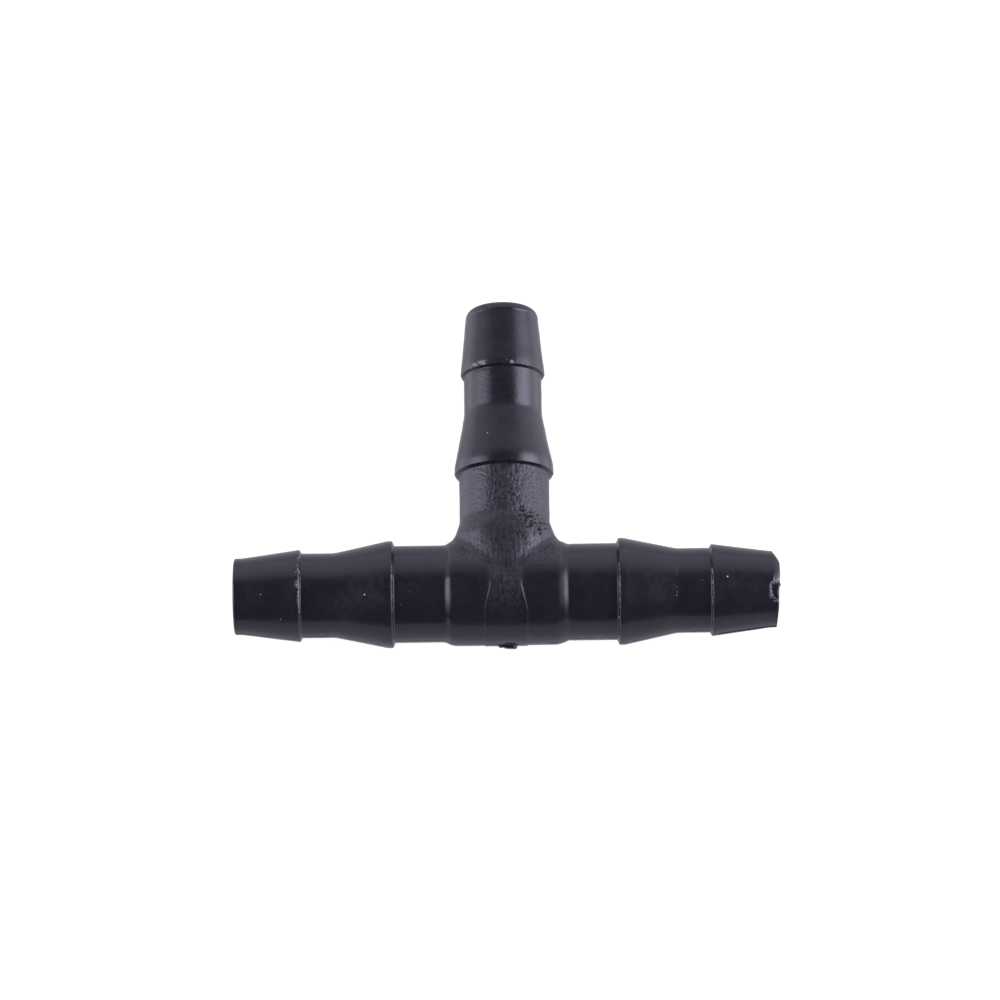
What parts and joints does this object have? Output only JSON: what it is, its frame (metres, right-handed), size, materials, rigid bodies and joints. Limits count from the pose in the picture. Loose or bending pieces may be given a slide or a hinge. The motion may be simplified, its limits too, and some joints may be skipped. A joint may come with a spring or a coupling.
{
  "type": "barbed tee connector",
  "caption": "Barbed tee connector for small irrigation hose: stepped barbs on every spigot grip the hose, and a bore carries water along the run and up the branch.",
  "frame": {"origin": "inside the hub, where the axes of the run's bore and the branch's bore meet", "axes": "+X along the run, +Y up the branch, +Z normal to the mould's parting plane, so that the tee lies flat"},
  "size_m": [0.031, 0.0203, 0.0062],
  "materials": {
    "black_plastic": "satin"
  },
  "bodies": {
    "root": {"tee_body": "black_plastic"}
  },
  "joints": []
}
